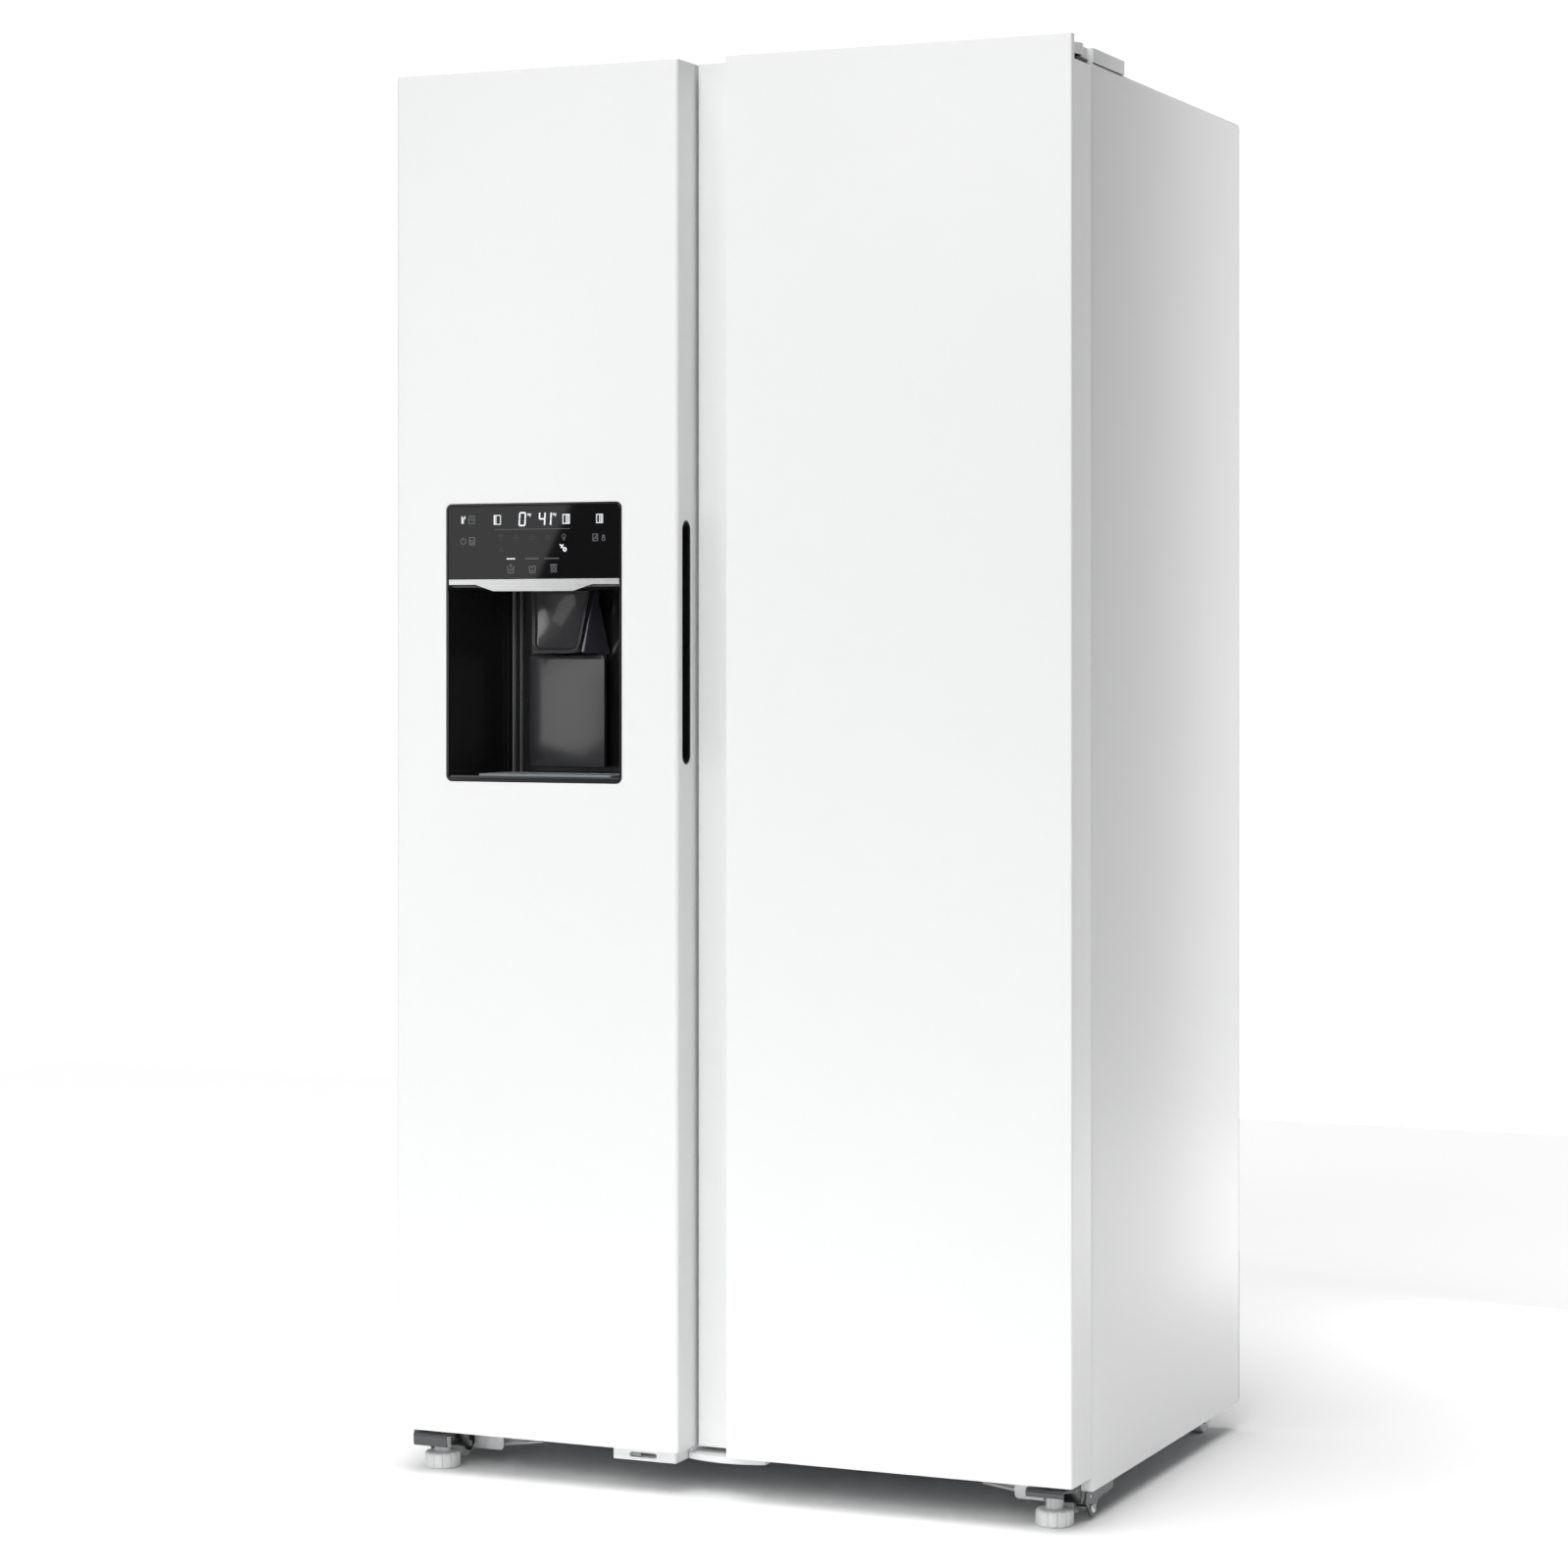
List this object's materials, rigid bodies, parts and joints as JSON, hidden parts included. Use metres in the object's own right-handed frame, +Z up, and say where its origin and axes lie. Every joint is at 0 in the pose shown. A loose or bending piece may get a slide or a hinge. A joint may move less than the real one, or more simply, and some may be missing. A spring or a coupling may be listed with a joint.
{
  "type": "side by side refrigerator",
  "caption": "Free-standing two-door refrigerator: narrow freezer door with an ice and water dispenser, wide fridge door with a recessed full-height grip.",
  "frame": {"origin": "middle of the footprint, on the floor", "axes": "+Z up, +X to the right seen from the front, +Y towards the back; the doors face -Y"},
  "size_m": [0.91, 0.682, 1.777],
  "materials": {
    "white_enamel": "gloss",
    "white_plastic": "satin",
    "liner_plastic": "satin",
    "foam": "matte",
    "gasket_rubber": "matte",
    "dark_plastic": "satin",
    "black_gloss": "gloss",
    "black_glass": "polished",
    "silver_bar": "satin",
    "steel": "satin",
    "galvanised_steel": "satin",
    "black_steel": "satin",
    "clear_plastic": "gloss",
    "shelf_glass": "polished",
    "aluminium": "satin",
    "grey_plastic": "satin"
  },
  "bodies": {
    "cabinet": {"outer_wrapper": "white_enamel", "mullion_foam": "foam", "insulation_foam": "foam", "freezer_liner": "liner_plastic", "fridge_liner": "liner_plastic", "base_pan": "galvanised_steel", "back_panel": "galvanised_steel", "machine_cover": "black_steel", "compressor": "black_steel", "condenser": "black_steel", "evaporator": "aluminium", "evaporator_cover": "liner_plastic", "base_lip": "white_plastic", "freezer_shelf_upper": "shelf_glass", "freezer_shelf_lower": "shelf_glass", "fridge_shelf_upper": "shelf_glass", "fridge_shelf_lower": "shelf_glass", "crisper_cover": "shelf_glass", "ice_maker": "grey_plastic", "ice_bucket": "clear_plastic", "top_hinge_left": "steel", "hinge_cover_left": "white_plastic", "bottom_hinge_left": "steel", "top_hinge_right": "steel", "hinge_cover_right": "white_plastic", "bottom_hinge_right": "steel"},
    "freezer_door": {"freezer_door_panel": "white_enamel", "freezer_door_foam": "foam", "freezer_door_liner": "liner_plastic", "freezer_door_gasket": "gasket_rubber", "handle_pocket": "dark_plastic", "door_guide": "white_plastic", "dispenser_housing": "dark_plastic", "control_panel": "black_glass", "dispenser_trim": "silver_bar", "ice_chute": "black_gloss", "drip_tray": "grey_plastic", "freezer_bin_lower": "clear_plastic", "freezer_bin_upper": "clear_plastic"},
    "fridge_door": {"fridge_door_panel": "white_enamel", "fridge_door_foam": "foam", "fridge_door_liner": "liner_plastic", "fridge_door_gasket": "gasket_rubber", "fridge_bin_lower": "clear_plastic", "fridge_bin_middle": "clear_plastic", "fridge_bin_upper": "clear_plastic"},
    "dispenser_paddle": {"dispenser_paddle": "dark_plastic"},
    "foot_left": {"foot_left": "white_plastic"},
    "foot_right": {"foot_right": "white_plastic"},
    "front_roller_left": {"front_roller_left": "white_plastic"},
    "front_roller_right": {"front_roller_right": "white_plastic"},
    "rear_roller_left": {"rear_roller_left": "white_plastic"},
    "rear_roller_right": {"rear_roller_right": "white_plastic"},
    "condenser_fan": {"condenser_fan": "grey_plastic"},
    "evaporator_fan": {"evaporator_fan": "grey_plastic"},
    "ice_auger": {"ice_auger": "steel"},
    "freezer_drawer_lower": {"freezer_drawer_lower": "clear_plastic"},
    "freezer_drawer_upper": {"freezer_drawer_upper": "clear_plastic"},
    "crisper_lower": {"crisper_lower": "clear_plastic"},
    "crisper_upper": {"crisper_upper": "clear_plastic"}
  },
  "joints": [
    {"name": "freezer_door_hinge", "type": "hinge", "parent": "cabinet", "child": "freezer_door", "pos_m": [-0.435, -0.304, 0.9], "axis": [0, 0, -1], "range_deg": [0, 120]},
    {"name": "fridge_door_hinge", "type": "hinge", "parent": "cabinet", "child": "fridge_door", "pos_m": [0.435, -0.304, 0.9], "axis": [0, 0, 1], "range_deg": [0, 120]},
    {"name": "dispenser_paddle_press", "type": "hinge", "parent": "freezer_door", "child": "dispenser_paddle", "pos_m": [-0.25925, -0.237, 1.033], "axis": [1, 0, 0], "range_deg": [0, 6], "stiffness_Nm_per_rad": 1.2, "springref_deg": -6.88},
    {"name": "foot_left_turn", "type": "hinge", "parent": "cabinet", "child": "foot_left", "pos_m": [-0.4155, -0.29, 0.02], "axis": [0, 0, 1], "continuous": true},
    {"name": "foot_right_turn", "type": "hinge", "parent": "cabinet", "child": "foot_right", "pos_m": [0.4155, -0.29, 0.02], "axis": [0, 0, 1], "continuous": true},
    {"name": "front_roller_left_spin", "type": "hinge", "parent": "cabinet", "child": "front_roller_left", "pos_m": [-0.417, -0.237, 0.02], "axis": [1, 0, 0], "continuous": true},
    {"name": "rear_roller_left_spin", "type": "hinge", "parent": "cabinet", "child": "rear_roller_left", "pos_m": [-0.41, 0.3, 0.02], "axis": [1, 0, 0], "continuous": true},
    {"name": "front_roller_right_spin", "type": "hinge", "parent": "cabinet", "child": "front_roller_right", "pos_m": [0.417, -0.237, 0.02], "axis": [1, 0, 0], "continuous": true},
    {"name": "rear_roller_right_spin", "type": "hinge", "parent": "cabinet", "child": "rear_roller_right", "pos_m": [0.41, 0.3, 0.02], "axis": [1, 0, 0], "continuous": true},
    {"name": "condenser_fan_spin", "type": "hinge", "parent": "cabinet", "child": "condenser_fan", "pos_m": [-0.095, 0.24, 0.126], "axis": [1, 0, 0], "continuous": true},
    {"name": "evaporator_fan_spin", "type": "hinge", "parent": "cabinet", "child": "evaporator_fan", "pos_m": [-0.2458, 0.251, 1.29], "axis": [0, 1, 0], "continuous": true},
    {"name": "ice_auger_turn", "type": "hinge", "parent": "cabinet", "child": "ice_auger", "pos_m": [-0.259, -0.03, 1.3], "axis": [0, 1, 0], "continuous": true},
    {"name": "freezer_drawer_upper_slide", "type": "slide", "parent": "cabinet", "child": "freezer_drawer_upper", "axis": [0, -1, 0], "range_m": [0, 0.1]},
    {"name": "freezer_drawer_lower_slide", "type": "slide", "parent": "cabinet", "child": "freezer_drawer_lower", "axis": [0, -1, 0], "range_m": [0, 0.1]},
    {"name": "crisper_upper_slide", "type": "slide", "parent": "cabinet", "child": "crisper_upper", "axis": [0, -1, 0], "range_m": [0, 0.1]},
    {"name": "crisper_lower_slide", "type": "slide", "parent": "cabinet", "child": "crisper_lower", "axis": [0, -1, 0], "range_m": [0, 0.1]}
  ]
}
